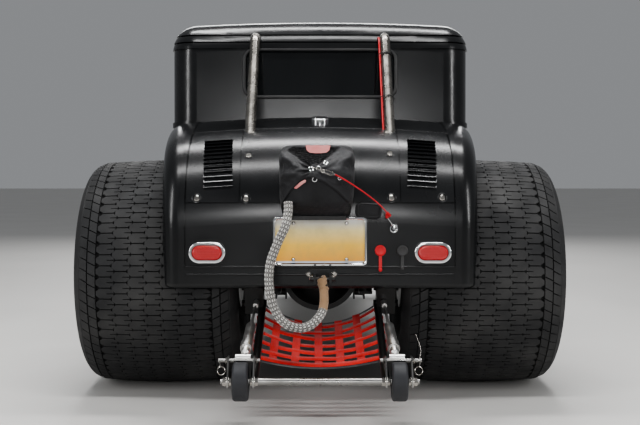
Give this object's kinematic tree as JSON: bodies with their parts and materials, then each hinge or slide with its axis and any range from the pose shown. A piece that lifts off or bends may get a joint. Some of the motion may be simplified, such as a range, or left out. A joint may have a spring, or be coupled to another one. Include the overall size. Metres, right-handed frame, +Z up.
{
  "type": "street rod coupe",
  "caption": "Chopped steel-roofed street rod coupe with wide rear tyres, louvred deck panels, parachute pack, roof stays and a wheelie bar with a slung net.",
  "frame": {"origin": "on the floor, under the middle of the car's length and width", "axes": "+X to the car's right, +Y towards its front, +Z up"},
  "size_m": [1.7112, 3.7641, 1.3962],
  "materials": {
    "body_paint": "satin black enamel",
    "panel_paint": "satin black enamel, slightly flatter than the body",
    "chassis_paint": "semi-gloss black chassis enamel",
    "interior_trim": "black upholstery",
    "glass": "dark tinted glass",
    "clear_glass": "clear lens glass",
    "red_lens": "ribbed red lamp lens",
    "chrome": "polished chrome",
    "stainless": "brushed stainless steel",
    "rear_tyre": "black rubber, treaded",
    "front_tyre": "black rubber",
    "wheel_metal": "dark satin aluminium",
    "small_rubber": "hard rubber roller",
    "pack_cloth": "black nylon pack cloth",
    "tether_sleeve": "grey and white braided sleeve",
    "red_cord": "red braided cord",
    "red_cable": "red plastic covered cable",
    "net_webbing": "red nylon webbing",
    "engine_metal": "painted cast iron",
    "exhaust_metal": "dull steel",
    "core_metal": "dark radiator core"
  },
  "bodies": {
    "chassis": {"frame_rails": "chassis_paint", "floor": "chassis_paint", "cab_shell": "body_paint", "rear_quarters": "body_paint", "deck_panels": "panel_paint", "tail_panel": "body_paint", "tail_lamps": "chrome", "tail_lenses": "red_lens", "filler_cap": "chrome", "roof_stays": "stainless", "stay_cable": "red_cable", "chute_pack": "pack_cloth", "chute_tray": "chassis_paint", "tether": "tether_sleeve", "pull_cord": "red_cord", "tether_bracket": "stainless", "pull_pin": "stainless", "wheelie_frame": "chassis_paint", "wheelie_cans": "stainless", "net": "net_webbing", "rear_axle": "chassis_paint", "rear_suspension": "chassis_paint", "front_axle": "chassis_paint", "front_suspension": "chassis_paint", "grille_shell": "body_paint", "grille": "core_metal", "powertrain": "engine_metal", "exhaust": "exhaust_metal", "headlamps": "body_paint", "headlamp_lenses": "clear_glass", "fixed_glass": "glass", "dashboard": "interior_trim", "seats": "interior_trim", "roll_cage": "chassis_paint"},
    "rear_wheel_left": {"rear_wheel_left": "wheel_metal", "rear_tyre_left": "rear_tyre"},
    "rear_wheel_right": {"rear_wheel_right": "wheel_metal", "rear_tyre_right": "rear_tyre"},
    "knuckle_left": {"knuckle_left": "chassis_paint"},
    "knuckle_right": {"knuckle_right": "chassis_paint"},
    "front_wheel_left": {"front_wheel_left": "wheel_metal", "front_tyre_left": "front_tyre"},
    "front_wheel_right": {"front_wheel_right": "wheel_metal", "front_tyre_right": "front_tyre"},
    "tie_rod": {"tie_rod": "chassis_paint"},
    "door_left": {"door_left": "body_paint", "door_glass_left": "glass"},
    "door_right": {"door_right": "body_paint", "door_glass_right": "glass"},
    "hood_left": {"hood_left": "body_paint"},
    "hood_right": {"hood_right": "body_paint"},
    "steering_wheel": {"steering_wheel": "interior_trim"},
    "wheelie_wheel_left": {"wheelie_wheel_left": "small_rubber"},
    "wheelie_wheel_right": {"wheelie_wheel_right": "small_rubber"}
  },
  "joints": [
    {"name": "rear_wheel_left_spin", "type": "hinge", "parent": "chassis", "child": "rear_wheel_left", "pos_m": [-0.57, -1.072, 0.419], "axis": [1, 0, 0], "continuous": true},
    {"name": "steer_left", "type": "hinge", "parent": "chassis", "child": "knuckle_left", "pos_m": [-0.61, 1.557, 0.325], "axis": [0, 0, 1], "range_deg": [-30, 30]},
    {"name": "front_wheel_left_spin", "type": "hinge", "parent": "knuckle_left", "child": "front_wheel_left", "pos_m": [-0.715, 1.557, 0.325], "axis": [1, 0, 0], "continuous": true},
    {"name": "door_left_hinge", "type": "hinge", "parent": "chassis", "child": "door_left", "pos_m": [-0.58096, 0.239, 0.735], "axis": [0, 0, -1], "range_deg": [0, 65]},
    {"name": "hood_left_hinge", "type": "hinge", "parent": "chassis", "child": "hood_left", "pos_m": [0, 1.048, 0.98], "axis": [0, 1, 0], "range_deg": [0, 55]},
    {"name": "wheelie_wheel_left_spin", "type": "hinge", "parent": "chassis", "child": "wheelie_wheel_left", "pos_m": [-0.245, -1.822, 0.152], "axis": [1, 0, 0], "continuous": true},
    {"name": "rear_wheel_right_spin", "type": "hinge", "parent": "chassis", "child": "rear_wheel_right", "pos_m": [0.57, -1.072, 0.419], "axis": [1, 0, 0], "continuous": true},
    {"name": "steer_right", "type": "hinge", "parent": "chassis", "child": "knuckle_right", "pos_m": [0.61, 1.557, 0.325], "axis": [0, 0, 1], "range_deg": [-30, 30]},
    {"name": "front_wheel_right_spin", "type": "hinge", "parent": "knuckle_right", "child": "front_wheel_right", "pos_m": [0.715, 1.557, 0.325], "axis": [1, 0, 0], "continuous": true},
    {"name": "door_right_hinge", "type": "hinge", "parent": "chassis", "child": "door_right", "pos_m": [0.58096, 0.239, 0.735], "axis": [0, 0, 1], "range_deg": [0, 65]},
    {"name": "hood_right_hinge", "type": "hinge", "parent": "chassis", "child": "hood_right", "pos_m": [0, 1.048, 0.98], "axis": [0, -1, 0], "range_deg": [0, 55]},
    {"name": "wheelie_wheel_right_spin", "type": "hinge", "parent": "chassis", "child": "wheelie_wheel_right", "pos_m": [0.245, -1.822, 0.152], "axis": [1, 0, 0], "continuous": true},
    {"name": "tie_rod_slide", "type": "slide", "parent": "chassis", "child": "tie_rod", "axis": [1, 0, 0], "range_m": [-0.0745, 0.0745]},
    {"name": "steering_wheel_turn", "type": "hinge", "parent": "chassis", "child": "steering_wheel", "pos_m": [-0.24, 0.003, 0.915], "axis": [0, -0.96, 0.2799], "range_deg": [-452, 452]}
  ],
  "couplings": [
    {"joint": "steer_right", "follows": "steer_left", "ratio": 1},
    {"joint": "tie_rod_slide", "follows": "steer_left", "m_per_rad": 0.1414},
    {"joint": "steering_wheel_turn", "follows": "steer_left", "ratio": 15}
  ]
}
